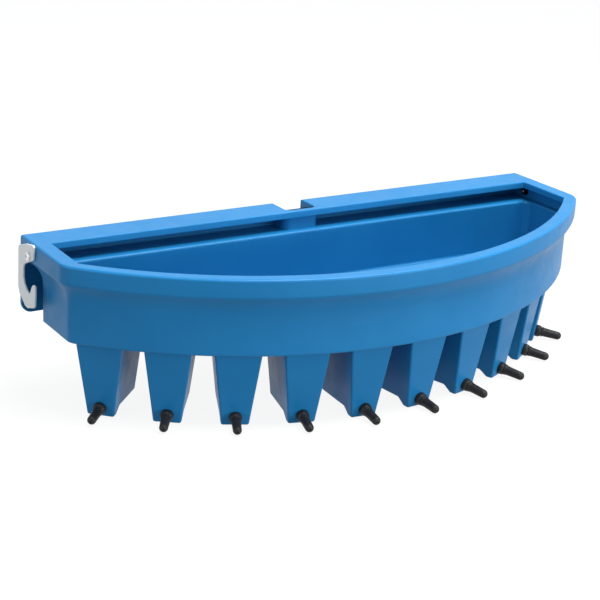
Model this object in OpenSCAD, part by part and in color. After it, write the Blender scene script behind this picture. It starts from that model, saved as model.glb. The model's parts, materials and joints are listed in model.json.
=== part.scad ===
// Multi teat lamb feeder: a D-shaped moulded trough that hooks over a rail, with ten hollow legs,
// each carrying a rubber teat, and a swing hook at each end of the rail channel.
// Frame: +Z up, +X along the rail, teats towards -Y. The origin is the bottom centre of the part.

/* [Rim] */
// Half of the length of the straight back edge
back_half_len = 452.5; // [400:5:520]
// Front to back depth of the rim
depth = 367.5; // [340:2.5:400]
// Radius of the curved front
rim_r = 603; // [580:1:640]
// Outward angle of the end walls
end_flare = 2.5; // [0:0.5:5]
// Radius of the rounded corners between the ends and the curved front
corner_r = 40; // [34:1:60]
// Height of the thick band round the rim
band_h = 28; // [26:0.5:34]
// Width of the rim's top along the curved front
rim_top_w = 20.5; // [18:0.5:26]
// Width of the rim's top at the two ends
end_rim_w = 26; // [20:0.5:32]
// Width of the rim's top along the back
lip_w = 55; // [52:1:62]
// Height of the rim's inner edge
lip_t = 11; // [8:0.5:14]
// Height of the groove under the rim's inner edge
groove_h = 20; // [18:0.5:24]
// Thickness of the rim outside the groove
rim_skin = 9; // [7:0.5:12]
// Thickness behind the groove along the back
back_skin = 14; // [10:0.5:18]

/* [Trough walls] */
// Thickness of the trough's walls
wall_t = 6; // [4:0.5:9]
// Thickness of the trough's floor
floor_t = 6; // [4:0.5:9]
// Height from the underside of the floor to the rim's top
trough_h = 119; // [100:1:150]
// Height of the sloped ledge under the band
ledge_h = 18; // [12:0.5:22]
// How far the ledge steps in under the band
ledge_in = 13; // [8:0.5:14]
// How far the lower wall leans in from its top to its foot
wall_draft = 1; // [0:0.5:4]

/* [Rail channel] */
// Thickness of the skirt behind the rail
skirt_t = 8; // [5:0.5:10]
// Height of the skirt from the rim's top down
skirt_h = 119.5; // [90:1:150]
// Radius of the skirt's lower corners
skirt_corner_r = 16; // [6:1:30]
// Thickness of the channel's ceiling
ceiling_t = 6; // [4:0.5:9]
// Radius in the channel's upper corners
channel_fillet_r = 12; // [6:0.5:16]
// Width of the notch in the middle of the channel
notch_w = 52; // [40:1:70]
// Depth of the notch from the back face
notch_depth = 45; // [38:0.5:48]
// Radius of the notch's inner corners
notch_r = 8; // [4:0.5:14]
// Thickness of the wall between the notch and the groove
notch_wall = 5; // [3:0.5:6]

/* [Teat legs] */
// Distance round the rim from its rounded corner to the middle of the end leg
end_leg_gap = 28.5; // [26:0.5:40]
// Height of the legs under the floor
leg_h = 117; // [100:1:140]
// Width of a leg at the floor
leg_top_w = 69; // [60:1:73]
// Width of a leg at its foot
leg_foot_w = 40.5; // [36:0.5:50]
// Backward lean of a leg's front face
leg_lean = 8; // [6:0.5:12]
// Setback of a leg's front face from the wall's foot
leg_setback = 15.5; // [8:0.5:20]
// Front to back depth of a leg at the floor
leg_depth = 110; // [95:1:115]
// Thickness of a leg's walls
leg_wall = 5; // [4:0.5:7]
// Front to back length of a leg's flat foot
foot_len = 11; // [8:0.5:16]
// Front to back length of the slope behind the foot
foot_slope_len = 12; // [8:0.5:20]
// Height of the slope behind the foot
foot_slope_h = 10; // [6:0.5:14]

/* [Teats] */
// Height of a teat's root above the foot
teat_height = 13.5; // [12.5:0.1:20]
// Length of a teat from the leg to its tip
teat_len = 43; // [38:0.5:48]
// Diameter of a teat at its root
teat_d = 14.8; // [14:0.1:17]
// Diameter of a teat just behind its round tip
teat_tip_d = 13; // [11:0.1:14]
// Diameter of the hole in a teat's tip
teat_orifice_d = 2; // [1:0.1:3]
// Thickness of a teat's tip
teat_tip_t = 5; // [3:0.5:8]
// Outside diameter of a collar
collar_d = 19; // [18:0.1:22]
// Length of a collar
collar_len = 9.5; // [7:0.5:12]
// Outside diameter of a stem's barrel
stem_d = 11; // [10:0.1:11.6]
// Diameter of the milk passage in a stem
stem_bore_d = 6.5; // [5:0.1:7.5]
// How far a stem reaches into its teat past the collar
stem_reach = 16; // [10:0.5:20]
// Diameter of a stem's flange
stem_flange_d = 18; // [16:0.1:19]
// Thickness of a stem's flange
stem_flange_t = 2.5; // [1.5:0.1:3]
// Thickness of a stem's seal
seal_t = 1.5; // [1:0.1:2.5]

/* [Hooks] */
// Width of a hook, back to front
hook_w = 65; // [60:0.5:70]
// Height of a hook
hook_h = 101; // [96:1:120]
// Thickness of a hook
hook_t = 3; // [2.5:0.1:5]
// Setback of a hook from the back face and from the rim's top
hook_setback = 0.5; // [0:0.5:3]
// Radius of a hook's outer corners
hook_corner_r = 3; // [1:0.5:4]
// Distance of a hook's pivot from the back face
pivot_back = 40; // [36:0.5:44]
// Diameter of the bolt's shoulder that a hook turns on
shoulder_d = 8; // [7:0.1:10]
// Diameter of the bolt's thread
bolt_d = 6; // [5:0.1:6.5]
// Diameter of the bolt's round head
bolt_head_d = 13; // [12:0.1:16]
// Height of the bolt's round head
bolt_head_h = 2.4; // [2:0.1:3]
// Outside diameter of the bolt's washers
washer_d = 15; // [13:0.1:16]
// Thickness of the bolt's washers
washer_t = 1; // [0.8:0.1:1.3]
// Width of the nut across its flats
nut_af = 10; // [9.5:0.1:11]
// Height of the nut
nut_h = 5; // [4:0.1:6]

/* [Fits] */
// Radial clearance of a hook on its shoulder
run_fit = 0.06; // [0.02:0.01:0.09]
// Radial clearance of fixed pieces in their holes
hole_fit = 0.2; // [0.1:0.05:0.3]
// Gap beside a moving hook
side_gap = 0.35; // [0.3:0.05:0.5]
// Depth by which cuts run past a surface
overrun = 1; // [0.5:0.5:2]

/* [Hidden] */
$fn = 64;
LEG_COUNT = 10;
total_h = trough_h + leg_h;
back_y = depth / 2;
arc_y = rim_r - depth / 2;
far = 2 * (back_half_len + depth);

// Levels, measured up from the feet
floor_top_z = leg_h + floor_t;
band_z = total_h - band_h;
ledge_z = band_z - ledge_h;
groove_top_z = total_h - lip_t;
groove_z = groove_top_z - groove_h;
ceiling_z = groove_z - ceiling_t;
fillet_z = ceiling_z - channel_fillet_r;
skirt_z = total_h - skirt_h;
pivot_z = groove_z + groove_h / 2;

// The trough's walls, as insets from the rim's outline
foot_in = ledge_in + wall_draft;
inner_top_in = max(ledge_in + wall_t, rim_top_w);
inner_foot_in = inner_top_in + wall_draft;

// Middle of a rounded corner, and the angle round the curved front at which it begins
corner_reach = cos(end_flare) * (back_half_len + tan(end_flare) * (back_y - arc_y)) - corner_r;
corner_angle = end_flare + asin(corner_reach / (rim_r - corner_r));
// Share of a corner's radius by which its arc stands out, so that it meets the walls at an edge
corner_out_share = 0.006;
corner_arc_r = corner_r * (1 + corner_out_share);
corner_x = (rim_r - corner_r) * sin(corner_angle);
corner_y = arc_y - (rim_r - corner_r) * cos(corner_angle);

// Legs, spread evenly between the rim's two corners
end_leg_angle = corner_angle - end_leg_gap / rim_r * 180 / PI;
leg_pitch = 2 * end_leg_angle / (LEG_COUNT - 1);
leg_top_r = rim_r - foot_in - leg_setback;
leg_back_r = leg_top_r - leg_depth;
hole_d = stem_d + 2 * hole_fit;
function leg_angle(i) = (i - (LEG_COUNT + 1) / 2) * leg_pitch;
function face_r(z) = leg_top_r - (leg_h - z) * tan(leg_lean);

// Share of a collar's length that isn't tapered
collar_straight_share = 0.5;

// Hooks, measured outwards from the end face along the bolt
washer_at = 2 * side_gap + hook_t;
head_at = washer_at + washer_t;
nut_washer_at = -rim_skin - washer_t;
nut_at = nut_washer_at - nut_h;
bolt_end_at = nut_at - washer_t;
// Outline of a hook as shares of its width, from the back, and of its height, from the bottom
hook_outline_shares = [
    [0, 0.23], [0, 0.82], [0.045, 0.86], [0.46, 0.955], [0.815, 1], [0.91, 1], [0.9, 0.89], [0.875, 0.78],
    [0.725, 0.735], [0.555, 0.69], [0.4, 0.645], [0.33, 0.61], [0.3, 0.56], [0.3, 0.42], [0.37, 0.33],
    [0.51, 0.265], [0.685, 0.235], [0.755, 0.32], [0.815, 0.385], [0.89, 0.42], [1, 0.42], [1, 0.26],
    [0.985, 0.11], [0.925, 0.075], [0.555, 0], [0.415, 0.01], [0.23, 0.085], [0.07, 0.14]
];
// Rounding of a hook's inside corners as a share of its width
hook_inside_share = 0.06;

function two_digits(i) = i < 10 ? str("0", i) : str(i);
function teat_nodes(kind) = [for (i = [1:LEG_COUNT]) str(kind, "_", two_digits(i))];
SIDES = [["left", -1], ["right", 1]];
function side_nodes(kind) = [for (side = SIDES) str(kind, "_", side[0])];

// Half of the rim's length at a given place between back and front
function half_at(y) = back_half_len + (back_y - y) * tan(end_flare);

// Half of the trough's length at a given place, drawn in by an inset
function half_in(y, inset) = half_at(y) - inset / cos(end_flare);

// Corners of the trough's plan before its front is rounded, drawn in by an inset at the ends
function plan_corners(inset, y_back) = let (y_front = -depth / 2 - overrun)
    [[-half_in(y_back, inset), y_back], [half_in(y_back, inset), y_back],
     [half_in(y_front, inset), y_front], [-half_in(y_front, inset), y_front]];

// The wedges at the two corners in which the outline is round
module corner_wedges() {
    for (s = [-1, 1]) translate([s * corner_x, corner_y])
        polygon([[0, 0], [s * far * cos(end_flare), far * sin(end_flare)],
                 [s * far * sin(corner_angle), -far * cos(corner_angle)]]);
}

// The D-shaped outline seen from above, drawn in by an inset and by its own inset at the back
module outline(inset, back_inset) {
    difference() {
        intersection() {
            translate([0, arc_y]) circle(r = rim_r - inset, $fn = 360);
            polygon(plan_corners(inset, back_y - back_inset));
        }
        difference() {
            corner_wedges();
            for (s = [-1, 1]) translate([s * corner_x, corner_y])
                circle(r = corner_arc_r - inset, $fn = 120);
        }
    }
}

// A block with the D-shaped outline between two levels
module d_block(inset, back_inset, z_low, z_high) {
    translate([0, 0, z_low]) linear_extrude(z_high - z_low) outline(inset, back_inset);
}

// A block with the D-shaped outline whose front and ends slope from one inset to another
module d_taper(inset_low, inset_high, back_inset, z_low, z_high) {
    h = z_high - z_low;
    function ring(inset, z) = [for (p = plan_corners(inset, back_y - back_inset)) [p[0], p[1], z]];
    difference() {
        intersection() {
            translate([0, arc_y, z_low])
                cylinder(r1 = rim_r - inset_low, r2 = rim_r - inset_high, h = h, $fn = 360);
            polyhedron(concat(ring(inset_low, z_low), ring(inset_high, z_high)),
                       [[3, 2, 1, 0], [4, 5, 6, 7], [0, 1, 5, 4], [1, 2, 6, 5], [2, 3, 7, 6], [3, 0, 4, 7]]);
        }
        difference() {
            translate([0, 0, z_low]) linear_extrude(h) corner_wedges();
            for (s = [-1, 1]) translate([s * corner_x, corner_y, z_low])
                cylinder(r1 = corner_arc_r - inset_low, r2 = corner_arc_r - inset_high, h = h, $fn = 120);
        }
    }
}

// Frame of a leg: -Y points outwards from the centre of the curved front
module at_leg(i) {
    translate([0, arc_y, 0]) rotate([0, 0, leg_angle(i)]) children();
}

// Frame of a teat: +Z points outwards along its axis, from the leg's front face
module at_teat(i) {
    at_leg(i) translate([0, -face_r(teat_height), teat_height]) rotate([90 + leg_lean, 0, 0]) children();
}

// A leg's form up to a given level, drawn in by an inset on every face but the top
module leg_form(inset, z_top) {
    side_slope = (leg_top_w - leg_foot_w) / 2 / leg_h;
    function half_w(z) = leg_foot_w / 2 + z * side_slope - inset;
    function front_r(z) = face_r(z) - inset / cos(leg_lean);
    foot_r = front_r(inset);
    intersection() {
        rotate([90, 0, 0]) linear_extrude(rim_r)
            polygon([[-half_w(inset), inset], [half_w(inset), inset],
                     [half_w(z_top), z_top], [-half_w(z_top), z_top]]);
        rotate([90, 0, 90]) linear_extrude(2 * leg_top_w, center = true)
            polygon([[-foot_r, inset], [-front_r(z_top), z_top],
                     [-leg_back_r - inset, z_top], [-leg_back_r - inset, foot_slope_h + inset],
                     [-foot_r + foot_len + foot_slope_len, foot_slope_h + inset],
                     [-foot_r + foot_len, inset]]);
    }
}

// What a round lower corner takes off the skirt's square end
module skirt_corner(side) {
    r = skirt_corner_r;
    translate([side * back_half_len, back_y, skirt_z]) rotate([0, 0, side * end_flare])
        translate([-side * r, 0, r]) rotate([90, 0, 0])
            linear_extrude(2 * (skirt_t + overrun), center = true) difference() {
                translate([side > 0 ? 0 : -r - overrun, -r - overrun]) square(r + overrun);
                circle(r = r * (1 + corner_out_share));
            }
}

// The skirt that hangs behind the rail, with its ends level with the rim's
module skirt() {
    difference() {
        intersection() {
            d_block(0, 0, skirt_z, total_h);
            translate([-far / 2, back_y - skirt_t, skirt_z]) cube([far, skirt_t + overrun, skirt_h]);
        }
        for (side = SIDES) skirt_corner(side[1]);
    }
}

// The space behind the trough, before the skirt closes it, under a flat ceiling with rounded corners
module rail_space() {
    width = lip_w - skirt_t;
    r = channel_fillet_r;
    translate([-far / 2, back_y - skirt_t, 0]) rotate([90, 0, 90]) linear_extrude(far) {
        translate([-width, 0]) square([lip_w + overrun, fillet_z]);
        translate([r - width, fillet_z - overrun]) square([width - 2 * r, r + overrun]);
        for (y = [r - width, -r]) translate([y, fillet_z]) circle(r = r);
    }
}

// The notch through the lip, the ceiling and the skirt in the middle of the back, grown by a margin
module notch(margin) {
    y_front = back_y - notch_depth - margin;
    width = notch_w + 2 * margin;
    r = notch_r + margin;
    reach = notch_depth + margin;
    translate([0, 0, -overrun]) linear_extrude(total_h + 2 * overrun) {
        translate([-width / 2, y_front + r]) square([width, reach - r + overrun]);
        translate([r - width / 2, y_front]) square([width - 2 * r, reach]);
        for (s = [-1, 1]) translate([s * (width / 2 - r), y_front + r]) circle(r = r);
    }
}

// The rim's opening, drawn in further at the two ends than along the front
module rim_opening() {
    z_low = groove_top_z - overrun;
    intersection() {
        d_block(rim_top_w, lip_w, z_low, total_h + overrun);
        translate([0, 0, z_low]) linear_extrude(total_h) polygon(plan_corners(end_rim_w, back_y - lip_w));
    }
}

// Frame of a hook: its pivot on the flared end face, with X along the bolt
module at_end(side) {
    y = back_y - pivot_back;
    translate([side * half_at(y), y, pivot_z]) rotate([0, 0, side * end_flare]) children();
}

// Frame of a hook's bolt: +Z points outwards from the end face
module at_bolt(side) {
    at_end(side) rotate([0, side * 90, 0]) children();
}

module trough_body() {
    color([0.10, 0.44, 0.72]) difference() {
        union() {
            d_block(0, 0, band_z, total_h);
            difference() {
                union() {
                    d_taper(ledge_in, 0, 0, ledge_z, band_z);
                    d_taper(foot_in, ledge_in, 0, leg_h, ledge_z);
                }
                rail_space();
            }
            skirt();
            for (i = [1:LEG_COUNT]) at_leg(i) leg_form(0, floor_top_z);
        }
        rim_opening();
        difference() {
            d_block(rim_skin, back_skin, groove_z, groove_top_z);
            notch(notch_wall);
        }
        d_taper(inner_foot_in, inner_top_in, lip_w + wall_t, floor_top_z, groove_z + overrun);
        for (i = [1:LEG_COUNT]) {
            at_leg(i) leg_form(leg_wall, floor_top_z + overrun);
            at_teat(i) translate([0, 0, -leg_wall - overrun])
                cylinder(d = hole_d, h = leg_wall + 2 * overrun);
        }
        notch(0);
        for (side = SIDES) at_bolt(side[1]) translate([0, 0, -rim_skin - overrun])
            cylinder(d = bolt_d + 2 * hole_fit, h = rim_skin + 2 * overrun);
    }
}

// Rubber teat, pushed over the stem against the collar
module teat() {
    root_r = teat_d / 2;
    tip_r = teat_tip_d / 2;
    seat_r = stem_d / 2 + run_fit;
    neck_z = collar_len + stem_reach;
    milk_r = stem_bore_d / 2;
    color([0.05, 0.05, 0.06]) difference() {
        union() {
            translate([0, 0, collar_len])
                cylinder(r1 = root_r, r2 = tip_r, h = teat_len - tip_r - collar_len);
            translate([0, 0, teat_len - tip_r]) sphere(r = tip_r);
        }
        translate([0, 0, collar_len - overrun]) cylinder(r = seat_r, h = stem_reach + overrun);
        translate([0, 0, neck_z - overrun])
            cylinder(r = milk_r, h = teat_len - teat_tip_t - neck_z + overrun);
        cylinder(d = teat_orifice_d, h = teat_len + overrun);
    }
}

// Round collar, screwed on the stem against the leg's front face
module teat_collar() {
    straight = collar_len * collar_straight_share;
    color([0.07, 0.07, 0.08]) difference() {
        union() {
            cylinder(d = collar_d, h = straight);
            translate([0, 0, straight]) cylinder(d1 = collar_d, d2 = teat_d, h = collar_len - straight);
        }
        translate([0, 0, -overrun]) cylinder(d = stem_d + 2 * run_fit, h = collar_len + 2 * overrun);
    }
}

// Hollow stem through the leg's wall, with its flange inside the leg
module teat_stem() {
    flange_z = -leg_wall - seal_t - stem_flange_t;
    color([0.16, 0.16, 0.18]) difference() {
        union() {
            translate([0, 0, flange_z]) cylinder(d = stem_flange_d, h = stem_flange_t);
            translate([0, 0, flange_z]) cylinder(d = stem_d, h = collar_len + stem_reach - flange_z);
        }
        translate([0, 0, flange_z - overrun])
            cylinder(d = stem_bore_d, h = collar_len + stem_reach - flange_z + 2 * overrun);
    }
}

// Rubber washer between the stem's flange and the leg's inside face
module stem_seal() {
    color([0.25, 0.10, 0.08]) translate([0, 0, -leg_wall - seal_t]) difference() {
        cylinder(d = stem_flange_d, h = seal_t);
        translate([0, 0, -overrun]) cylinder(d = hole_d, h = seal_t + 2 * overrun);
    }
}

// Swing hook: an eye plate, an arm behind the rail and an upturned tip under it
module hook(side) {
    inside_r = hook_w * hook_inside_share;
    points = [for (p = hook_outline_shares)
        [pivot_back - hook_setback - p[0] * hook_w, total_h - pivot_z - hook_setback - (1 - p[1]) * hook_h]];
    color([0.90, 0.91, 0.93]) at_end(side) difference() {
        translate([side > 0 ? side_gap : -side_gap - hook_t, 0, 0])
            rotate([90, 0, 90]) linear_extrude(hook_t)
                offset(r = hook_corner_r, $fn = 32) offset(r = -hook_corner_r - inside_r, $fn = 32)
                    offset(r = inside_r, $fn = 32) polygon(points);
        rotate([0, 90, 0]) cylinder(d = shoulder_d + 2 * run_fit, h = far, center = true);
    }
}

// Shoulder bolt with a low round head
module hook_bolt(side) {
    color([0.72, 0.73, 0.75]) at_bolt(side) {
        translate([0, 0, bolt_end_at]) cylinder(d = bolt_d, h = overrun - bolt_end_at);
        cylinder(d = shoulder_d, h = head_at);
        translate([0, 0, head_at]) cylinder(d1 = bolt_head_d, d2 = shoulder_d, h = bolt_head_h);
    }
}

// Flat round washer with its inner face at a given place along the bolt
module flat_washer(side, place, hole) {
    color([0.68, 0.69, 0.71]) at_bolt(side) translate([0, 0, place]) difference() {
        cylinder(d = washer_d, h = washer_t);
        translate([0, 0, -overrun]) cylinder(d = hole + 2 * hole_fit, h = washer_t + 2 * overrun);
    }
}

// Hexagon nut inside the groove
module hook_nut(side) {
    color([0.70, 0.71, 0.73]) at_bolt(side) translate([0, 0, nut_at]) difference() {
        cylinder(d = nut_af / cos(30), h = nut_h, $fn = 6);
        translate([0, 0, -overrun]) cylinder(d = bolt_d + 2 * run_fit, h = nut_h + 2 * overrun);
    }
}

trough_body();
for (i = [1:LEG_COUNT]) {
    at_teat(i) teat();
    at_teat(i) teat_collar();
    at_teat(i) teat_stem();
    at_teat(i) stem_seal();
}
for (side = SIDES) {
    hook(side[1]);
    hook_bolt(side[1]);
    flat_washer(side[1], washer_at, shoulder_d);
    flat_washer(side[1], nut_washer_at, bolt_d);
    hook_nut(side[1]);
}
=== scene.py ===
"""Looks of the multi teat lamb feeder around its frame: rounded edges, finishes, studio and camera."""
import json
import math
import bmesh
import bpy
from mathutils import Matrix, Vector

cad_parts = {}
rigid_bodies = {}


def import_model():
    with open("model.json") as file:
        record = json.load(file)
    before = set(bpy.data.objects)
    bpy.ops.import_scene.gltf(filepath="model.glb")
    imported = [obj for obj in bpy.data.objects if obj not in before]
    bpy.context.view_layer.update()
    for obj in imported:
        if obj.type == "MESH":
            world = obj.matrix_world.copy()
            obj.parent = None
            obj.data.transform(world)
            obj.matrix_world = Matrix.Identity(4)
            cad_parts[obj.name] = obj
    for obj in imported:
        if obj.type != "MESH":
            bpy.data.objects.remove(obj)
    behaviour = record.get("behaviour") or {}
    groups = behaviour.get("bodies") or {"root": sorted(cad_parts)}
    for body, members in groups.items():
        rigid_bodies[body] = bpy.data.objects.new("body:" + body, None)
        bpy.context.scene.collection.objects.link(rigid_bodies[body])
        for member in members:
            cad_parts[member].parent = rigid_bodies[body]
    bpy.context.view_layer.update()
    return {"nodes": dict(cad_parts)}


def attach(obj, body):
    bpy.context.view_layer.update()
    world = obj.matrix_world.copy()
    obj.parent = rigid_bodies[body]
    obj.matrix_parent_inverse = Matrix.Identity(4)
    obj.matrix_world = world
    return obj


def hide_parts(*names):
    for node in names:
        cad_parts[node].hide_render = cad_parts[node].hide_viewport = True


MM = 0.001

for old in list(bpy.data.objects):
    bpy.data.objects.remove(old)
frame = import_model()
nodes = frame["nodes"]
LEGS = range(1, 11)
MIDDLE_LEG = 5.5
SIDES = {"left": -1, "right": 1}

# Levels of the moulding above the feet, in millimetres
RIM_TOP = 236.0
LIP_UNDER = 225.0
BAND_FOOT = 208.0
GROOVE_FLOOR = 205.0
LEDGE_FOOT = 190.0
FLOOR_TOP = 123.0
FLOOR_UNDER = 117.0

# Places of the outline, the legs and the bolts, in millimetres and degrees
BACK_Y = 183.75
SKIRT_T = 8.0
CHANNEL_FRONT_Y = 128.75
RIM_R = 603.0
BACK_HALF_LEN = 452.5
END_FLARE = 2.5
ARC_Y = 419.25
LEG_PITCH = 10.073
LEG_TOP_R = 573.5
LEG_LEAN = 8.0
TEAT_HEIGHT = 13.5
PIVOT_BACK = 40.0
PIVOT_HEIGHT = 215.0
CORNER_R = 40.0
CORNER_REACH = (math.cos(math.radians(END_FLARE)) * BACK_HALF_LEN
                + math.sin(math.radians(END_FLARE)) * (BACK_Y - ARC_Y) - CORNER_R)
CORNER_TURN = END_FLARE + math.degrees(math.asin(CORNER_REACH / (RIM_R - CORNER_R)))
CORNER_X = (RIM_R - CORNER_R) * math.sin(math.radians(CORNER_TURN))
CORNER_Y = ARC_Y - (RIM_R - CORNER_R) * math.cos(math.radians(CORNER_TURN))

# The ledge under the band, how far its rounded edges reach, and where the mesh is cut to shape them
LEDGE_IN = 13.0
WALL_DRAFT = 1.0
BAND_ROUND = 3.0
LEDGE_ROUND = 14.0
FADE_END = 174.0
FADE_LEN = 30.0
LEDGE_CUTS = [BAND_FOOT + step for step in (3.0, 2.0, 1.0, -0.8, -1.6, -2.4)]
LEDGE_CUTS += [LEDGE_FOOT + step for step in (11.3, 8.5, 5.5, 2.7, -2.5, -5.5, -8.5, -11.5, -14.0)]
LEDGE_CUTS += [LEDGE_FOOT - drop for drop in (22.0, 32.0, 42.0, 52.0, 62.0)]
END_FACE_X = 440.0
END_CUTS = (100.0, BACK_Y - PIVOT_BACK, 158.0, FADE_END)

# Edge roundings, in millimetres: an edge stands out, and a corner lies inwards
RIM_OUTER_EDGE = 4.0
RIM_INNER_EDGE = 1.8
SKIRT_EDGE = 1.75
CHANNEL_EDGE = 1.0
LIP_EDGE = 1.5
GROOVE_EDGE, GROOVE_CORNER = 4.0, 2.0
FLOOR_EDGE, FLOOR_CORNER = 2.5, 5.0
FLOOR_UNDER_EDGE = 2.5
RIM_UPRIGHT_EDGE, RIM_UPRIGHT_CORNER = 2.0, 1.5
WALL_CORNER = 12.0
LEG_EDGE = 3.0
OTHER_EDGE = 2.0
HOOK_EDGE = 0.8
SMALL_EDGE = 0.25
TEAT_HOLE_REACH = 8.0
HOOK_HOLE_REACH = 5.0
HOLE_DEPTH = 20.0
CHANNEL_EDGE_TOP = LEDGE_FOOT - 4.0

# How near a point or an edge has to be to count as part of a face or level, in millimetres
LEVEL_SLACK = 0.3
SKIRT_SLACK = 0.1
FACE_SLACK = 1.0
SKIN_SLACK = 0.5

# How steep a face or an edge is, by the upright part of its direction
FLAT_FACE = 0.99
STEEP_FACE = 0.9
LEVEL_EDGE = 0.05
UPRIGHT_EDGE = 0.85

# Settings of the meshes, in millimetres and degrees
MERGE = 0.06
NO_AREA = 0.01
FLAT_ANGLE = 0.95
SHARP_ANGLE = 14.0
CREASE_ANGLE = 38.0
CUT_SNAP = 0.05
RADIAL_SNAP = 0.8
ROUND_SEGMENTS = 3
TURNED_SEGMENTS = 48
NORMAL_WEIGHT = 60

# Sizes of the turned pieces, in millimetres, along their axes from the face that they sit on
COLLAR_R = 9.5
COLLAR_LEN = 9.5
TEAT_R = 7.4
TEAT_TIP_R = 6.5
TEAT_LEN = 43.0
TEAT_TIP_WALL = 5.0
TEAT_BEAD = 0.7
TEAT_GAP = 0.1
ORIFICE_R = 1.0
STEM_R = 5.5
STEM_BORE_R = 3.25
STEM_END = 25.5
STEM_FLANGE_R = 9.0
FLANGE_BACK = -9.0
FLANGE_FRONT = -6.5
LEG_INSIDE = -5.0
SEAL_HOLE_R = 5.7
SHOULDER_R = 4.0
THREAD_R = 3.0
HEAD_R = 6.5
HEAD_AT = 4.7
HEAD_H = 2.4
KEY_R = 2.0
WASHER_R = 7.5
WASHER_T = 1.0
WASHER_AT = 3.7
NUT_WASHER_AT = -10.0
NUT_AT = -15.0
NUT_H = 5.0
NUT_HALF_AF = 5.0
BOLT_END = -16.0
HOLE_FIT = 0.2


# Frames of the turned pieces, in millimetres, with +Z along each axis outwards

def leg_turn(leg):
    """Turn of a leg about the middle of the rim's arc."""
    turn = math.radians((leg - MIDDLE_LEG) * LEG_PITCH)
    return Matrix.Translation((0, ARC_Y, 0)) @ Matrix.Rotation(turn, 4, "Z")


def teat_place(leg):
    """Middle of a teat's hole, on the outer face of its leg."""
    face_r = LEG_TOP_R - (FLOOR_UNDER - TEAT_HEIGHT) * math.tan(math.radians(LEG_LEAN))
    on_face = Matrix.Translation((0, -face_r, TEAT_HEIGHT))
    return leg_turn(leg) @ on_face @ Matrix.Rotation(math.radians(90 + LEG_LEAN), 4, "X")


def bolt_place(side):
    """Middle of a hook's bolt, on the end face of the rim."""
    flare = math.radians(END_FLARE)
    half = BACK_HALF_LEN + PIVOT_BACK * math.tan(flare)
    pivot = Matrix.Translation((side * half, BACK_Y - PIVOT_BACK, PIVOT_HEIGHT))
    return pivot @ Matrix.Rotation(side * flare, 4, "Z") @ Matrix.Rotation(side * math.pi / 2, 4, "Y")


hole_axes = [teat_place(leg) for leg in LEGS] + [bolt_place(side) for side in SIDES.values()]


def near_hole(point, reach):
    """Whether a point, in millimetres, lies beside one of the holes through the moulding."""
    for place in hole_axes:
        offset = place.inverted() @ point
        if abs(offset.z) < HOLE_DEPTH and math.hypot(offset.x, offset.y) < reach:
            return True
    return False


# Mesh helpers

def node_mesh(node):
    """A copy of a node's mesh, without doubles and faces that have no area."""
    bm = bmesh.new()
    bm.from_mesh(nodes[node].data)
    bm.transform(nodes[node].matrix_world)
    bmesh.ops.remove_doubles(bm, verts=bm.verts, dist=MERGE * MM)
    bmesh.ops.dissolve_degenerate(bm, edges=bm.edges, dist=NO_AREA * MM)
    return bm


def cut_faces(bm, faces, through, across, snap=CUT_SNAP):
    """Cuts some faces of a mesh at a plane, through points that are near it, and marks the cuts."""
    verts = list(dict.fromkeys(vert for face in faces for vert in face.verts))
    edges = list(dict.fromkeys(edge for face in faces for edge in face.edges))
    cut = bmesh.ops.bisect_plane(bm, geom=verts + edges + faces, dist=snap * MM,
                                 plane_co=through * MM, plane_no=across)
    for part in cut["geom_cut"]:
        if isinstance(part, bmesh.types.BMEdge):
            part.seam = True


def join_flat(bm):
    """Joins the triangles of each flat face, up to the marked cuts."""
    bmesh.ops.dissolve_limit(bm, angle_limit=math.radians(FLAT_ANGLE), delimit={"SEAM"},
                             verts=bm.verts, edges=bm.edges)


def soften(bm, rounding):
    """Weighs each sharp edge by the rounding, in millimetres, that the function returns for it."""
    weights = bm.edges.layers.float.new("bevel_weight_edge")
    bm.edges.index_update()
    sizes = {}
    for edge in bm.edges:
        angle = math.degrees(edge.calc_face_angle(0.0))
        edge.smooth = True
        if angle < SHARP_ANGLE:
            continue
        middle = (edge.verts[0].co + edge.verts[1].co) / 2 / MM
        along = (edge.verts[1].co - edge.verts[0].co).normalized()
        size = rounding(middle, along, edge.is_convex)
        if size > 0:
            sizes[edge] = size
        else:
            edge.smooth = False
    widest = max(sizes.values())
    for edge, size in sizes.items():
        edge[weights] = size / widest
    return widest * MM


def piece(name, bm, bevel_width=0.0):
    """A mesh object with smooth faces, and rounded edges where the mesh has bevel weights."""
    mesh = bpy.data.meshes.new(name)
    bm.to_mesh(mesh)
    bm.free()
    mesh.polygons.foreach_set("use_smooth", [True] * len(mesh.polygons))
    obj = bpy.data.objects.new(name, mesh)
    bpy.context.scene.collection.objects.link(obj)
    if bevel_width:
        bevel = obj.modifiers.new("rounded edges", "BEVEL")
        bevel.limit_method = "WEIGHT"
        bevel.width = bevel_width
        bevel.segments = ROUND_SEGMENTS
        bevel.offset_type = "OFFSET"
        bevel.use_clamp_overlap = False
        normals = obj.modifiers.new("even normals", "WEIGHTED_NORMAL")
        normals.keep_sharp = True
        normals.weight = NORMAL_WEIGHT
    return obj


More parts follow.
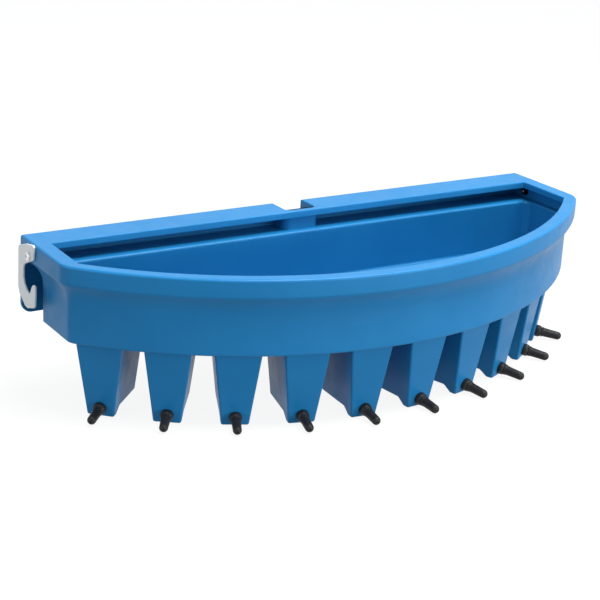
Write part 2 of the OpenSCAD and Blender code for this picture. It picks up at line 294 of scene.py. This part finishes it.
def turned(name, profile, place, hexed=(), closed=True):
    """A turned piece from (along, radius) points in millimetres, some of its rings hexagonal."""
    bm = bmesh.new()
    rings = []
    for index, (along, radius) in enumerate(profile):
        if radius == 0:
            rings.append([bm.verts.new((0, 0, along))])
            continue
        ring = []
        for n in range(TURNED_SEGMENTS):
            turn = 2 * math.pi * n / TURNED_SEGMENTS
            off_flat = (turn + math.pi / 6) % (math.pi / 3) - math.pi / 6
            size = radius / math.cos(off_flat) if index in hexed else radius
            ring.append(bm.verts.new((size * math.cos(turn), size * math.sin(turn), along)))
        rings.append(ring)
    followers = rings[1:] + (rings[:1] if closed else [])
    for low, high in zip(rings, followers):
        for n in range(TURNED_SEGMENTS):
            corners = (low[n % len(low)], low[(n + 1) % len(low)],
                       high[(n + 1) % len(high)], high[n % len(high)])
            bm.faces.new(list(dict.fromkeys(corners)))
    bmesh.ops.recalc_face_normals(bm, faces=bm.faces)
    for edge in bm.edges:
        edge.smooth = math.degrees(edge.calc_face_angle(0.0)) < CREASE_ANGLE
    bm.transform(Matrix.Scale(MM, 4) @ place)
    return piece(name, bm)


def stand_for(obj, node, body, material):
    """Lets a piece take a node's place, ride on its body and wear a material."""
    obj.data.materials.clear()
    obj.data.materials.append(material)
    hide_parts(node)
    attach(obj, body)


# Materials: scales of their noise in bumps per metre, depths of their relief, and gloss

CLOUDS = 9.0
PATCHES = 34.0
WAVES = 26.0
PEEL = 420.0
BLOOM = 90.0
RUBBER_GRAIN = 900.0
SMEARS = 160.0
METAL_GRAIN = 1400.0
WAVE_MM = 0.5
RUBBER_GRAIN_MM = 0.05
METAL_GRAIN_MM = 0.02
RUBBER_SPECULAR = 0.22
RUBBER_SPREAD = 0.15


def new_material(name):
    mat = bpy.data.materials.new(name)
    mat.use_nodes = True
    shader = mat.node_tree.nodes["Principled BSDF"]
    return mat, mat.node_tree, shader


def place_noise(tree, scale, detail, rough=0.55):
    """Noise fixed to the object."""
    coords = tree.nodes.new("ShaderNodeTexCoord")
    noise = tree.nodes.new("ShaderNodeTexNoise")
    noise.inputs["Scale"].default_value = scale
    noise.inputs["Detail"].default_value = detail
    noise.inputs["Roughness"].default_value = rough
    tree.links.new(coords.outputs["Object"], noise.inputs["Vector"])
    return noise.outputs["Fac"]


def remap(tree, value, low, high, to_low, to_high):
    node = tree.nodes.new("ShaderNodeMapRange")
    node.inputs["From Min"].default_value = low
    node.inputs["From Max"].default_value = high
    node.inputs["To Min"].default_value = to_low
    node.inputs["To Max"].default_value = to_high
    tree.links.new(value, node.inputs["Value"])
    return node.outputs["Result"]


def mix_colors(tree, factor, first, second):
    node = tree.nodes.new("ShaderNodeMix")
    node.data_type = "RGBA"
    node.inputs["A"].default_value = (*first, 1.0)
    node.inputs["B"].default_value = (*second, 1.0)
    tree.links.new(factor, node.inputs["Factor"])
    return node.outputs["Result"]


def bump(tree, height, distance, strength, under=None):
    node = tree.nodes.new("ShaderNodeBump")
    node.inputs["Strength"].default_value = strength
    node.inputs["Distance"].default_value = distance
    tree.links.new(height, node.inputs["Height"])
    if under:
        tree.links.new(under, node.inputs["Normal"])
    return node.outputs["Normal"]


def plastic(name, colour, paler, roughness, peel_mm, specular):
    """Moulded plastic: cloudy colour, uneven satin gloss, and a fine skin of orange peel."""
    mat, tree, shader = new_material(name)
    cloud = remap(tree, place_noise(tree, CLOUDS, detail=4.0), 0.35, 0.65, 0.0, 1.0)
    tree.links.new(mix_colors(tree, cloud, colour, paler), shader.inputs["Base Color"])
    patches = remap(tree, place_noise(tree, PATCHES, detail=5.0, rough=0.65), 0.3, 0.7, *roughness)
    tree.links.new(patches, shader.inputs["Roughness"])
    shader.inputs["Specular IOR Level"].default_value = specular
    peel = bump(tree, place_noise(tree, PEEL, detail=2.0), peel_mm * MM, strength=0.35)
    waves = bump(tree, place_noise(tree, WAVES, detail=1.0), WAVE_MM * MM, strength=0.25, under=peel)
    tree.links.new(waves, shader.inputs["Normal"])
    return mat


def rubber(name, colour, paler, roughness):
    """Matt rubber with a faint bloom."""
    mat, tree, shader = new_material(name)
    bloom = remap(tree, place_noise(tree, BLOOM, detail=4.0), 0.4, 0.75, 0.0, 1.0)
    tree.links.new(mix_colors(tree, bloom, colour, paler), shader.inputs["Base Color"])
    rough = remap(tree, bloom, 0.0, 1.0, roughness, roughness + RUBBER_SPREAD)
    tree.links.new(rough, shader.inputs["Roughness"])
    grain = bump(tree, place_noise(tree, RUBBER_GRAIN, detail=2.0), RUBBER_GRAIN_MM * MM, strength=0.4)
    tree.links.new(grain, shader.inputs["Normal"])
    shader.inputs["Specular IOR Level"].default_value = RUBBER_SPECULAR
    return mat


def metal(name, colour, paler, roughness):
    """Plain metal with faint smears."""
    mat, tree, shader = new_material(name)
    smear = remap(tree, place_noise(tree, SMEARS, detail=4.0), 0.3, 0.7, 0.0, 1.0)
    tree.links.new(mix_colors(tree, smear, colour, paler), shader.inputs["Base Color"])
    tree.links.new(remap(tree, smear, 0.0, 1.0, *roughness), shader.inputs["Roughness"])
    grain = bump(tree, place_noise(tree, METAL_GRAIN, detail=2.0), METAL_GRAIN_MM * MM, strength=0.4)
    tree.links.new(grain, shader.inputs["Normal"])
    shader.inputs["Metallic"].default_value = 1.0
    return mat


BLUE, PALER_BLUE = (0.009, 0.166, 0.395), (0.011, 0.180, 0.425)
WHITE, PALER_WHITE = (0.70, 0.75, 0.78), (0.75, 0.80, 0.83)
BLACK, PALER_BLACK = (0.010, 0.010, 0.012), (0.018, 0.018, 0.020)
CHARCOAL, PALER_CHARCOAL = (0.020, 0.020, 0.022), (0.033, 0.033, 0.036)
RED, PALER_RED = (0.075, 0.018, 0.013), (0.10, 0.028, 0.020)
STEEL, PALER_STEEL = (0.55, 0.56, 0.58), (0.70, 0.71, 0.73)

finish = {
    "trough_plastic": plastic("trough_plastic", BLUE, PALER_BLUE, (0.34, 0.46), 0.08, 0.19),
    "hook_plastic": plastic("hook_plastic", WHITE, PALER_WHITE, (0.36, 0.48), 0.05, 0.4),
    "teat_rubber": rubber("teat_rubber", BLACK, PALER_BLACK, 0.45),
    "collar_plastic": plastic("collar_plastic", BLACK, PALER_BLACK, (0.38, 0.52), 0.05, 0.25),
    "stem_plastic": plastic("stem_plastic", CHARCOAL, PALER_CHARCOAL, (0.36, 0.50), 0.05, 0.4),
    "seal_rubber": rubber("seal_rubber", RED, PALER_RED, 0.5),
    "fastener_steel": metal("fastener_steel", STEEL, PALER_STEEL, (0.24, 0.38)),
    # Painted shade: the nut and its washer inside the trough's end are made near black, a dark finish
    # that stands in for the shade there
    "fastener_black": metal("fastener_black", CHARCOAL, PALER_CHARCOAL, (0.40, 0.55)),
}


# The moulded trough

def rim_place(point):
    """How far inside the rim's outline a point lies, seen from above, and the way out from there."""
    side = math.copysign(1.0, point.x)
    flare = math.radians(END_FLARE)
    from_corner = Vector((point.x - side * CORNER_X, point.y - CORNER_Y, 0))
    turn = math.degrees(math.atan2(side * from_corner.x, -from_corner.y))
    if turn > 90 + END_FLARE:
        out = Vector((side * math.cos(flare), math.sin(flare), 0))
        return CORNER_R - from_corner.dot(out), out
    if turn < CORNER_TURN:
        from_middle = Vector((point.x, point.y - ARC_Y, 0))
        return RIM_R - from_middle.length, from_middle.normalized()
    return CORNER_R - from_corner.length, from_corner.normalized()


def plain_inset(z):
    """Inset of the trough's outer skin from the rim's outline at a level, with sharp edges."""
    slope = LEDGE_IN * min(max((BAND_FOOT - z) / (BAND_FOOT - LEDGE_FOOT), 0.0), 1.0)
    return slope + WALL_DRAFT * max(LEDGE_FOOT - z, 0.0) / (LEDGE_FOOT - FLOOR_UNDER)


def rounded_inset(z):
    """Inset of the outer skin with a small round under the band and a wide hollow under the ledge."""
    turn = math.atan2(LEDGE_IN, BAND_FOOT - LEDGE_FOOT)
    band_r = BAND_ROUND / math.tan(turn / 2)
    ledge_r = LEDGE_ROUND / math.tan(turn / 2)
    if abs(z - BAND_FOOT) < BAND_ROUND and z > BAND_FOOT - BAND_ROUND * math.cos(turn):
        return band_r - math.sqrt(band_r ** 2 - (BAND_FOOT + BAND_ROUND - z) ** 2)
    if abs(z - LEDGE_FOOT) < LEDGE_ROUND and z < LEDGE_FOOT + LEDGE_ROUND * math.cos(turn):
        hollow = LEDGE_IN - ledge_r + math.sqrt(ledge_r ** 2 - (z - LEDGE_FOOT + LEDGE_ROUND) ** 2)
        return hollow + max(plain_inset(z) - LEDGE_IN, 0.0)
    return plain_inset(z)


def on_skin(face):
    """Whether a face belongs to the outer skin round the ledge."""
    middle = face.calc_center_median() / MM
    inset = rim_place(middle)[0]
    steep = abs(face.normal.z) < STEEP_FACE
    near = abs(inset - plain_inset(middle.z)) < FACE_SLACK
    return steep and near and middle.y < BACK_Y - SKIRT_T


def shape_ledge(bm):
    """Moves the points of the outer skin to its rounded form, fading out towards the skirt."""
    for vert in bm.verts:
        point = vert.co / MM
        inset, out = rim_place(point)
        if point.z > FLOOR_TOP and abs(inset - plain_inset(point.z)) < SKIN_SLACK:
            fade = min(max((FADE_END - point.y) / FADE_LEN, 0.0), 1.0)
            vert.co += out * (inset - rounded_inset(point.z)) * fade * MM
    bm.normal_update()


def trough_rounding(middle, along, convex):
    """Edge rounding of the moulding, in millimetres: large on the outside, none round the holes."""
    z = middle.z
    level = abs(along.z) < LEVEL_EDGE
    upright = abs(along.z) > UPRIGHT_EDGE
    if near_hole(middle, TEAT_HOLE_REACH):
        return 0.0
    if z > RIM_TOP - LEVEL_SLACK:
        outer = min(rim_place(middle)[0], BACK_Y - middle.y) < FACE_SLACK
        return RIM_OUTER_EDGE if outer else RIM_INNER_EDGE
    if z < BAND_FOOT + LEVEL_SLACK and middle.y > BACK_Y - SKIRT_T - SKIRT_SLACK:
        return SKIRT_EDGE if convex and z < BAND_FOOT - FACE_SLACK else 0.0
    if z < BAND_FOOT + LEVEL_SLACK and middle.y > CHANNEL_FRONT_Y - FACE_SLACK:
        front = upright and z < CHANNEL_EDGE_TOP and middle.y < CHANNEL_FRONT_Y + FACE_SLACK
        return CHANNEL_EDGE if front else 0.0
    if level and abs(z - LIP_UNDER) < LEVEL_SLACK:
        return LIP_EDGE
    if level and abs(z - GROOVE_FLOOR) < LEVEL_SLACK:
        return GROOVE_EDGE if convex else GROOVE_CORNER
    if level and abs(z - FLOOR_TOP) < LEVEL_SLACK:
        return FLOOR_EDGE if convex else FLOOR_CORNER
    if level and abs(z - FLOOR_UNDER) < LEVEL_SLACK:
        return FLOOR_UNDER_EDGE
    if z > GROOVE_FLOOR and upright:
        return RIM_UPRIGHT_EDGE if convex else RIM_UPRIGHT_CORNER
    if z > FLOOR_TOP and upright and not convex:
        return WALL_CORNER
    return LEG_EDGE if z < FLOOR_UNDER else OTHER_EDGE


def make_trough():
    """Cuts ring-shaped faces open at the legs and bolts, shapes the ledge and rounds the edges."""
    bm = node_mesh("trough_body")
    for leg in LEGS:
        across = leg_turn(leg).to_3x3() @ Vector((1, 0, 0))
        flat = [face for face in bm.faces
                if abs(face.normal.z) > FLAT_FACE or face.calc_center_median().z < FLOOR_UNDER * MM]
        cut_faces(bm, flat, Vector((0, ARC_Y, 0)), across, RADIAL_SNAP)
    for place in END_CUTS:
        ends = [face for face in bm.faces
                if min(abs(vert.co.x) for vert in face.verts) > END_FACE_X * MM]
        cut_faces(bm, ends, Vector((0, place, 0)), Vector((0, 1, 0)))
    for level in LEDGE_CUTS:
        skin = [face for face in bm.faces if on_skin(face)]
        cut_faces(bm, skin, Vector((0, 0, level)), Vector((0, 0, 1)))
    join_flat(bm)
    shape_ledge(bm)
    width = soften(bm, trough_rounding)
    shell = piece("trough_shell", bm, width)
    stand_for(shell, "trough_body", "trough", finish["trough_plastic"])


# The teats and what holds them

def arc_points(middle, radius, start, end, steps):
    """Points of a round end in a turned profile, between two angles in degrees from the axis."""
    turns = [math.radians(start + (end - start) * n / steps) for n in range(steps + 1)]
    return [(middle + radius * math.cos(t), radius * math.sin(t)) for t in turns]


def teat_profile():
    bead = TEAT_R + TEAT_BEAD
    root = COLLAR_LEN + TEAT_GAP
    round_from = TEAT_LEN - TEAT_TIP_R
    inside = [(root, STEM_R), (STEM_END, STEM_R), (STEM_END, STEM_BORE_R),
              (TEAT_LEN - TEAT_TIP_WALL, STEM_BORE_R), (TEAT_LEN - TEAT_TIP_WALL, ORIFICE_R),
              (TEAT_LEN - 0.6, ORIFICE_R)]
    tip = arc_points(round_from, TEAT_TIP_R, 14, 90, 9)
    waist = [(round_from - 6, TEAT_TIP_R + 0.12), (COLLAR_LEN + 10, TEAT_R - 0.45),
             (COLLAR_LEN + 4.5, TEAT_R - 0.2)]
    foot = [(COLLAR_LEN + 2.6, TEAT_R + 0.1), (COLLAR_LEN + 2.0, bead - 0.15), (COLLAR_LEN + 1.4, bead),
            (COLLAR_LEN + 0.8, bead), (COLLAR_LEN + 0.3, bead - 0.2)]
    return inside + tip + waist + foot


def collar_profile():
    edge = 0.6
    half = COLLAR_LEN / 2
    dome = [(half, COLLAR_R), (half + 1.6, COLLAR_R - 0.25), (half + 2.9, COLLAR_R - 0.75),
            (half + 3.9, COLLAR_R - 1.4), (COLLAR_LEN - 0.25, COLLAR_R - 2.0),
            (COLLAR_LEN, COLLAR_R - 2.5)]
    foot = [(0, STEM_R), (0, COLLAR_R - edge), (edge * 0.3, COLLAR_R - edge * 0.3), (edge, COLLAR_R)]
    return foot + dome + [(COLLAR_LEN, STEM_R)]


def stem_profile():
    edge = 0.4
    barrel = [(FLANGE_BACK, STEM_BORE_R), (STEM_END, STEM_BORE_R), (STEM_END, STEM_R - edge),
              (STEM_END - edge, STEM_R), (FLANGE_FRONT, STEM_R)]
    flange = [(FLANGE_FRONT, STEM_FLANGE_R - edge), (FLANGE_FRONT - edge, STEM_FLANGE_R),
              (FLANGE_BACK + edge, STEM_FLANGE_R), (FLANGE_BACK, STEM_FLANGE_R - edge)]
    return barrel + flange


def ring_profile(start, end, hole_r, outer_r, edge):
    """A flat ring with softened outer edges."""
    return [(start, hole_r), (end, hole_r), (end, outer_r - edge), (end - edge, outer_r),
            (start + edge, outer_r), (start, outer_r - edge)]


def make_teats():
    seal = ring_profile(FLANGE_FRONT, LEG_INSIDE, SEAL_HOLE_R, STEM_FLANGE_R, SMALL_EDGE)
    kinds = {
        "teat": (teat_profile(), "teat_rubber"),
        "teat_collar": (collar_profile(), "collar_plastic"),
        "teat_stem": (stem_profile(), "stem_plastic"),
        "stem_seal": (seal, "seal_rubber"),
    }
    for kind, (profile, slot) in kinds.items():
        for leg in LEGS:
            node = "%s_%02d" % (kind, leg)
            look = turned(node + "_look", profile, teat_place(leg))
            stand_for(look, node, "trough", finish[slot])


# The hooks and their fasteners

def bolt_profile():
    edge = 0.4
    top = HEAD_AT + HEAD_H
    shank = [(BOLT_END, 0), (BOLT_END, THREAD_R - edge), (BOLT_END + edge, THREAD_R), (0, THREAD_R),
             (0, SHOULDER_R), (HEAD_AT, SHOULDER_R), (HEAD_AT, HEAD_R - 0.3), (HEAD_AT + 0.3, HEAD_R)]
    dome = [(HEAD_AT + 1.0, HEAD_R - 0.25), (HEAD_AT + 1.7, HEAD_R - 1.0), (top - 0.25, HEAD_R - 2.1),
            (top, HEAD_R - 3.2)]
    socket = [(top, KEY_R), (HEAD_AT + 0.5, KEY_R), (HEAD_AT + 0.5, 0)]
    profile = shank + dome + socket
    return profile, (len(profile) - 3, len(profile) - 2)


def nut_profile():
    flat = NUT_HALF_AF
    end = NUT_AT + NUT_H
    profile = [(NUT_AT, THREAD_R), (end, THREAD_R), (end, flat - 0.4), (end - 0.5, flat),
               (NUT_AT + 0.5, flat), (NUT_AT, flat - 0.4)]
    return profile, (3, 4)


def hook_rounding(middle, along, convex):
    """Edge rounding of a hook, in millimetres: none round its hole."""
    return 0.0 if near_hole(middle, HOOK_HOLE_REACH) else HOOK_EDGE


def make_hooks():
    bolt, bolt_hex = bolt_profile()
    nut, nut_hex = nut_profile()
    washer = ring_profile(WASHER_AT, WASHER_AT + WASHER_T, SHOULDER_R + HOLE_FIT, WASHER_R, SMALL_EDGE)
    nut_washer = ring_profile(NUT_WASHER_AT, NUT_WASHER_AT + WASHER_T, THREAD_R + HOLE_FIT, WASHER_R,
                              SMALL_EDGE)
    for name, side in SIDES.items():
        place = bolt_place(side)
        bm = node_mesh("hook_" + name)
        join_flat(bm)
        width = soften(bm, hook_rounding)
        look = piece("hook_%s_look" % name, bm, width)
        stand_for(look, "hook_" + name, "hook_" + name, finish["hook_plastic"])
        fasteners = (("hook_bolt", "fastener_steel", bolt, bolt_hex, False),
                     ("hook_washer", "fastener_steel", washer, (), True),
                     # The nut and its washer wear the near-black finish that paints the shade inside
                     # the trough's end
                     ("nut_washer", "fastener_black", nut_washer, (), True),
                     ("hook_nut", "fastener_black", nut, nut_hex, True))
        for kind, slot, profile, hexed, closed in fasteners:
            node = kind + "_" + name
            look = turned(node + "_look", profile, place, hexed, closed)
            stand_for(look, node, "trough", finish[slot])


make_trough()
make_teats()
make_hooks()


# Studio: the floor and the lamps in metres, watts and degrees

FLOOR_HALF = 30.0
FLOOR_DROP_MM = 0.4
FLOOR_BOUNCE = 0.26
FLOOR_SEEN = 0.90
FLOOR_DIFFUSE = (0.10, 0.10, 0.10, 1)
WORLD_SEEN = 1.0
WORLD_FILL = 0.55
FILL_COLOUR = (0.92, 0.96, 1.0, 1)
LAMP_AIM = Vector((0, 0, 0.18))
LAMP_DISTANCE = 3.0

# Each lamp's name, azimuth from the front to the right, elevation, size and power
LAMPS = (
    ("key", 75.0, 68.0, (1.8, 1.8), 94.0),
    ("top", 10.0, 73.0, (1.2, 0.8), 60.0),
    ("front", 25.0, 5.0, (3.0, 0.5), 57.0),
    ("left", -88.0, 8.0, (2.0, 0.6), 14.0),
)

# The photograph's camera, in degrees and millimetres
CAMERA_AZIMUTH = -32.765
CAMERA_ELEVATION = 19.150
CAMERA_ROLL = 3.041
CAMERA_TARGET = Vector((-2.20, 124.99, 90.28))
CAMERA_DISTANCE = 3086.04
CAMERA_LENS = 118.053
CAMERA_SENSOR = 36.0
CAMERA_CLIP_M = 100.0


def sight_rays(tree):
    """One for rays that show a surface, directly or in gloss and glass, and zero for others."""
    path = tree.nodes.new("ShaderNodeLightPath")
    socket = path.outputs["Is Camera Ray"]
    for kind in ("Is Glossy Ray", "Is Transmission Ray"):
        either = tree.nodes.new("ShaderNodeMath")
        either.operation = "MAXIMUM"
        tree.links.new(socket, either.inputs[0])
        tree.links.new(path.outputs[kind], either.inputs[1])
        socket = either.outputs[0]
    return socket


def pick_by_sight(tree, other, seen, out):
    """Uses one shader where a surface is seen, and another one for the light that it gives."""
    pick = tree.nodes.new("ShaderNodeMixShader")
    tree.links.new(sight_rays(tree), pick.inputs[0])
    tree.links.new(other.outputs[0], pick.inputs[1])
    tree.links.new(seen.outputs[0], pick.inputs[2])
    tree.links.new(pick.outputs[0], out.inputs["Surface"])


def studio_floor():
    """A white floor that takes a faint shadow where it is seen, and lights the object from below."""
    half = FLOOR_HALF
    corners = [(-half, -half, 0), (half, -half, 0), (half, half, 0), (-half, half, 0)]
    mesh = bpy.data.meshes.new("floor")
    mesh.from_pydata(corners, [], [(0, 1, 2, 3)])
    floor = bpy.data.objects.new("floor", mesh)
    bpy.context.scene.collection.objects.link(floor)
    floor.location.z = -FLOOR_DROP_MM * MM
    mat = bpy.data.materials.new("floor_white")
    mat.use_nodes = True
    tree = mat.node_tree
    tree.nodes.clear()
    out = tree.nodes.new("ShaderNodeOutputMaterial")
    bounce = tree.nodes.new("ShaderNodeEmission")
    bounce.inputs["Strength"].default_value = FLOOR_BOUNCE
    faint = tree.nodes.new("ShaderNodeBsdfDiffuse")
    faint.inputs["Color"].default_value = FLOOR_DIFFUSE
    glow = tree.nodes.new("ShaderNodeEmission")
    glow.inputs["Strength"].default_value = FLOOR_SEEN
    seen = tree.nodes.new("ShaderNodeAddShader")
    tree.links.new(faint.outputs[0], seen.inputs[0])
    tree.links.new(glow.outputs[0], seen.inputs[1])
    pick_by_sight(tree, bounce, seen, out)
    mesh.materials.append(mat)


def studio_world():
    """A white surround where it is seen, and a weaker, cooler one as fill light."""
    world = bpy.data.worlds.new("studio")
    bpy.context.scene.world = world
    world.use_nodes = True
    tree = world.node_tree
    tree.nodes.clear()
    out = tree.nodes.new("ShaderNodeOutputWorld")
    seen = tree.nodes.new("ShaderNodeBackground")
    seen.inputs["Color"].default_value = (1, 1, 1, 1)
    seen.inputs["Strength"].default_value = WORLD_SEEN
    fill = tree.nodes.new("ShaderNodeBackground")
    fill.inputs["Color"].default_value = FILL_COLOUR
    fill.inputs["Strength"].default_value = WORLD_FILL
    pick_by_sight(tree, fill, seen, out)


def from_angles(azimuth, elevation):
    """The way from the part to a place at an azimuth and an elevation, in degrees."""
    turn, rise = math.radians(azimuth), math.radians(elevation)
    level = math.cos(rise)
    return Vector((math.sin(turn) * level, -math.cos(turn) * level, math.sin(rise)))


def area_light(name, azimuth, elevation, size, power):
    """A soft light aimed at the trough."""
    towards = from_angles(azimuth, elevation)
    data = bpy.data.lights.new(name, "AREA")
    data.shape = "RECTANGLE"
    data.size, data.size_y = size
    data.energy = power
    lamp = bpy.data.objects.new(name, data)
    bpy.context.scene.collection.objects.link(lamp)
    lamp.location = LAMP_AIM + towards * LAMP_DISTANCE
    lamp.rotation_euler = (-towards).to_track_quat("-Z", "Y").to_euler()


def studio_camera():
    """The photograph's camera: its place, turn and lens."""
    azimuth, roll = math.radians(CAMERA_AZIMUTH), math.radians(CAMERA_ROLL)
    back = from_angles(CAMERA_AZIMUTH, CAMERA_ELEVATION)
    right = Vector((math.cos(azimuth), math.sin(azimuth), 0))
    up = back.cross(right)
    across = math.cos(roll) * right + math.sin(roll) * up
    upright = math.cos(roll) * up - math.sin(roll) * right
    data = bpy.data.cameras.new("camera")
    data.sensor_width = CAMERA_SENSOR
    data.lens = CAMERA_LENS
    data.clip_end = CAMERA_CLIP_M
    camera = bpy.data.objects.new("camera", data)
    bpy.context.scene.collection.objects.link(camera)
    turn = Matrix((across, upright, back)).transposed().to_4x4()
    place = (CAMERA_TARGET + back * CAMERA_DISTANCE) * MM
    camera.matrix_world = Matrix.Translation(place) @ turn
    bpy.context.scene.camera = camera


studio_floor()
studio_world()
for lamp_settings in LAMPS:
    area_light(*lamp_settings)
studio_camera()
bpy.context.scene.view_settings.view_transform = "Standard"
